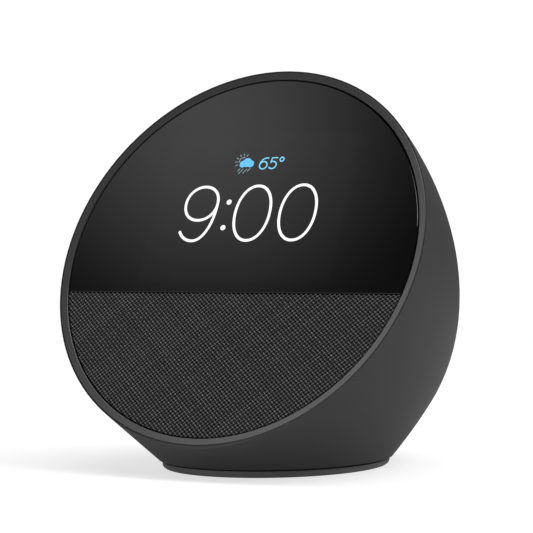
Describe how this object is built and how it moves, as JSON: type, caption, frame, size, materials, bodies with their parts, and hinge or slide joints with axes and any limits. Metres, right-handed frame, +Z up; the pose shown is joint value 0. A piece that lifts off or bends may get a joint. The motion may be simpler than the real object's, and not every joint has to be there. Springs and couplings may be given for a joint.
{
  "type": "smart display",
  "caption": "Small round bedside smart display: tilted glass and cloth face in a rounded shell on a rubber foot, with sprung keys on the back and a speaker inside.",
  "frame": {"origin": "on the resting plane, under the middle of the bounding box", "axes": "+X across the display to the right as seen from the front, face looks towards -Y and leans back, +Z up"},
  "size_m": [0.113, 0.1033, 0.1112],
  "materials": {
    "shell_plastic": "fine matt texture",
    "ring_plastic": "satin",
    "inner_plastic": "moulded",
    "cover_glass": "gloss, printed black behind",
    "black_tape": "matt",
    "clear_adhesive": "clear",
    "lcd_glass": "dark",
    "backlight": "white",
    "steel": "pressed",
    "flat_cable": "polyimide",
    "grille_fabric": "woven",
    "rubber": "matt",
    "paper_cone": "pressed paper",
    "spider_cloth": "woven, varnished",
    "copper": "enamelled",
    "magnet": "ferrite",
    "circuit_board": "solder mask",
    "chip": "epoxy",
    "thermal_pad": "soft",
    "aluminium": "stamped",
    "socket_plastic": "moulded",
    "screw_steel": "black zinc",
    "wire_insulation": "pvc",
    "key_plastic": "fine matt texture",
    "foot_rubber": "matt"
  },
  "bodies": {
    "housing": {"rear_shell": "shell_plastic", "front_ring": "ring_plastic", "front_chassis": "inner_plastic", "base_plate": "shell_plastic", "base_weight": "steel", "foot_pad": "foot_rubber", "cover_glass": "cover_glass", "screen_tape": "black_tape", "display_adhesive": "clear_adhesive", "lcd_panel": "lcd_glass", "lcd_backlight": "backlight", "lcd_bracket": "steel", "lcd_ribbon": "flat_cable", "light_sensor": "circuit_board", "grille_frame": "inner_plastic", "grille_fabric": "grille_fabric", "speaker_basket": "steel", "speaker_gasket": "rubber", "speaker_surround": "rubber", "speaker_spider": "spider_cloth", "speaker_top_plate": "steel", "speaker_magnet": "magnet", "speaker_yoke": "steel", "speaker_enclosure": "inner_plastic", "speaker_screws": "screw_steel", "speaker_lead": "wire_insulation", "main_board": "circuit_board", "processor": "chip", "memory_chips": "chip", "wireless_module": "steel", "processor_shield": "steel", "thermal_pad": "thermal_pad", "heat_spreader": "aluminium", "board_connectors": "socket_plastic", "wifi_antennas": "circuit_board", "small_screws": "screw_steel", "chassis_screws": "screw_steel", "base_screws": "screw_steel", "key_board": "circuit_board", "tact_switches": "chip", "microphones": "steel", "mic_gaskets": "rubber", "key_ribbon": "flat_cable", "power_jack": "inner_plastic", "jack_pin": "copper", "jack_retainer": "inner_plastic", "power_lead": "wire_insulation"},
    "speaker_diaphragm": {"speaker_cone": "paper_cone", "speaker_dust_cap": "paper_cone", "speaker_voice_coil": "copper"},
    "volume_down_key": {"volume_down_button": "key_plastic", "volume_down_plunger": "socket_plastic"},
    "mic_off_key": {"mic_off_button": "key_plastic", "mic_off_plunger": "socket_plastic"},
    "volume_up_key": {"volume_up_button": "key_plastic", "volume_up_plunger": "socket_plastic"}
  },
  "joints": [
    {"name": "volume_down_press", "type": "slide", "parent": "housing", "child": "volume_down_key", "axis": [0, -0.7128, -0.7014], "range_m": [0, 0.0006], "stiffness_N_per_m": 180, "springref_m": -0.004},
    {"name": "mic_off_press", "type": "slide", "parent": "housing", "child": "mic_off_key", "axis": [0, -0.7128, -0.7014], "range_m": [0, 0.0006], "stiffness_N_per_m": 180, "springref_m": -0.004},
    {"name": "volume_up_press", "type": "slide", "parent": "housing", "child": "volume_up_key", "axis": [0, -0.7128, -0.7014], "range_m": [0, 0.0006], "stiffness_N_per_m": 180, "springref_m": -0.004},
    {"name": "diaphragm_stroke", "type": "slide", "parent": "housing", "child": "speaker_diaphragm", "axis": [0, -0.9026, 0.4305], "range_m": [-0.001, 0.001], "stiffness_N_per_m": 700}
  ]
}
